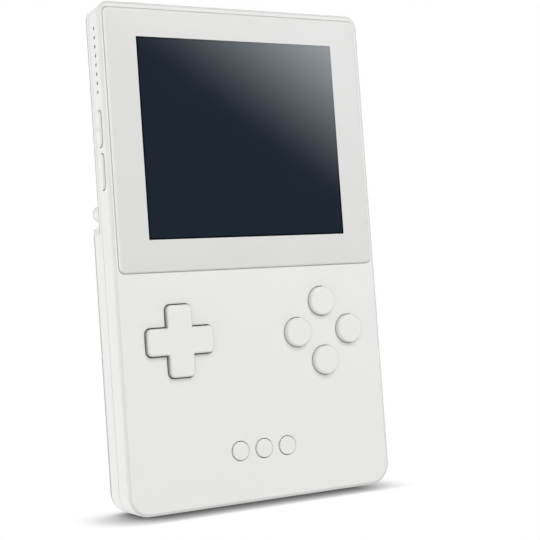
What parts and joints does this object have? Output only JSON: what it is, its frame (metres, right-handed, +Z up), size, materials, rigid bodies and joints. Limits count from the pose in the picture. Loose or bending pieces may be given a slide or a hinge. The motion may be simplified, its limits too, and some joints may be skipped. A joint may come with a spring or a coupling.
{
  "type": "handheld game console",
  "caption": "White upright handheld game console with a near-square display, cross pad, round buttons, side keys, rear triggers and a cartridge bay in its back.",
  "frame": {"origin": "on the flat bottom edge it stands on, under the middle of the case's width and of its whole depth", "axes": "+Z up along the case's height, the display faces -Y, +X to the right as seen by the player"},
  "size_m": [0.0886, 0.0212, 0.1484],
  "materials": {
    "shell_white": "fine satin moulding",
    "key_white": "satin moulding",
    "clear_glass": "polished, printed white behind its border",
    "mask_white": "printed film",
    "screen_dark": "dark display, switched off",
    "board_green": "solder resist",
    "part_black": "moulded housings",
    "ribbon_amber": "flexible film",
    "rubber_grey": "soft silicone",
    "steel": "bright steel",
    "gold": "gilt contacts",
    "cell_grey": "wrapped cell with a foil shell",
    "wire_red": "sleeved wire"
  },
  "bodies": {
    "case": {"front_shell": "shell_white", "rear_shell": "shell_white", "cover_glass": "clear_glass", "screen_mask": "mask_white", "lcd_panel": "screen_dark", "lcd_tray": "steel", "display_ribbon": "ribbon_amber", "display_socket": "part_black", "main_board": "board_green", "main_chip": "part_black", "support_chips": "part_black", "pad_post": "part_black", "pad_membrane": "rubber_grey", "button_membrane": "rubber_grey", "menu_membrane": "rubber_grey", "side_switches": "part_black", "side_board": "board_green", "side_ribbon": "ribbon_amber", "trigger_pins": "steel", "trigger_spring_left": "steel", "trigger_spring_right": "steel", "trigger_switches": "part_black", "speaker_left": "part_black", "speaker_right": "part_black", "speaker_gaskets": "part_black", "speaker_leads": "wire_red", "cartridge_connector": "part_black", "connector_contacts": "gold", "card_reader": "steel", "charge_port": "steel", "charge_tongue": "part_black", "headphone_jack": "part_black", "link_port": "part_black", "link_contacts": "gold", "battery": "cell_grey", "battery_lead": "wire_red", "battery_socket": "mask_white", "case_screws": "steel", "board_screws": "steel"},
    "bead": {"pad_bead": "steel"},
    "pad": {"cross_pad": "key_white"},
    "upper_button": {"button_up": "key_white"},
    "right_button": {"button_right": "key_white"},
    "lower_button": {"button_down": "key_white"},
    "left_button": {"button_left": "key_white"},
    "left_menu_button": {"menu_left": "key_white"},
    "middle_menu_button": {"menu_middle": "key_white"},
    "right_menu_button": {"menu_right": "key_white"},
    "power_button": {"power_key": "key_white"},
    "volume_button": {"volume_rocker": "key_white"},
    "left_trigger": {"trigger_left": "key_white"},
    "right_trigger": {"trigger_right": "key_white"}
  },
  "joints": [
    {"name": "pad_nod", "type": "hinge", "parent": "case", "child": "bead", "pos_m": [-0.0252, -0.0063, 0.0492], "axis": [1, 0, 0], "range_deg": [-3.8, 3.8], "stiffness_Nm_per_rad": 0.15, "deforming": ["pad_membrane"]},
    {"name": "pad_roll", "type": "hinge", "parent": "bead", "child": "pad", "pos_m": [-0.0252, -0.0063, 0.0492], "axis": [0, 0, 1], "range_deg": [-3.8, 3.8], "stiffness_Nm_per_rad": 0.15, "deforming": ["pad_membrane"]},
    {"name": "button_up_press", "type": "slide", "parent": "case", "child": "upper_button", "axis": [0, 1, 0], "range_m": [0, 0.0012], "stiffness_N_per_m": 700, "deforming": ["button_membrane"]},
    {"name": "button_right_press", "type": "slide", "parent": "case", "child": "right_button", "axis": [0, 1, 0], "range_m": [0, 0.0012], "stiffness_N_per_m": 700, "deforming": ["button_membrane"]},
    {"name": "button_down_press", "type": "slide", "parent": "case", "child": "lower_button", "axis": [0, 1, 0], "range_m": [0, 0.0012], "stiffness_N_per_m": 700, "deforming": ["button_membrane"]},
    {"name": "button_left_press", "type": "slide", "parent": "case", "child": "left_button", "axis": [0, 1, 0], "range_m": [0, 0.0012], "stiffness_N_per_m": 700, "deforming": ["button_membrane"]},
    {"name": "menu_left_press", "type": "slide", "parent": "case", "child": "left_menu_button", "axis": [0, 1, 0], "range_m": [0, 0.0005], "stiffness_N_per_m": 800, "deforming": ["menu_membrane"]},
    {"name": "menu_middle_press", "type": "slide", "parent": "case", "child": "middle_menu_button", "axis": [0, 1, 0], "range_m": [0, 0.0005], "stiffness_N_per_m": 800, "deforming": ["menu_membrane"]},
    {"name": "menu_right_press", "type": "slide", "parent": "case", "child": "right_menu_button", "axis": [0, 1, 0], "range_m": [0, 0.0005], "stiffness_N_per_m": 800, "deforming": ["menu_membrane"]},
    {"name": "power_press", "type": "slide", "parent": "case", "child": "power_button", "axis": [1, 0, 0], "range_m": [0, 0.0004], "stiffness_N_per_m": 1500},
    {"name": "volume_rock", "type": "hinge", "parent": "case", "child": "volume_button", "pos_m": [-0.04195, -0.0055, 0.0991], "axis": [0, 1, 0], "range_deg": [-3.5, 3.5], "stiffness_Nm_per_rad": 0.12},
    {"name": "trigger_left_pull", "type": "hinge", "parent": "case", "child": "left_trigger", "pos_m": [-0.0326, 0.0003, 0.088], "axis": [0, 0, 1], "range_deg": [0, 5], "stiffness_Nm_per_rad": 0.11, "deforming": ["trigger_spring_left"]},
    {"name": "trigger_right_pull", "type": "hinge", "parent": "case", "child": "right_trigger", "pos_m": [0.0326, 0.0003, 0.088], "axis": [0, 0, -1], "range_deg": [0, 5], "stiffness_Nm_per_rad": 0.11, "deforming": ["trigger_spring_right"]}
  ]
}
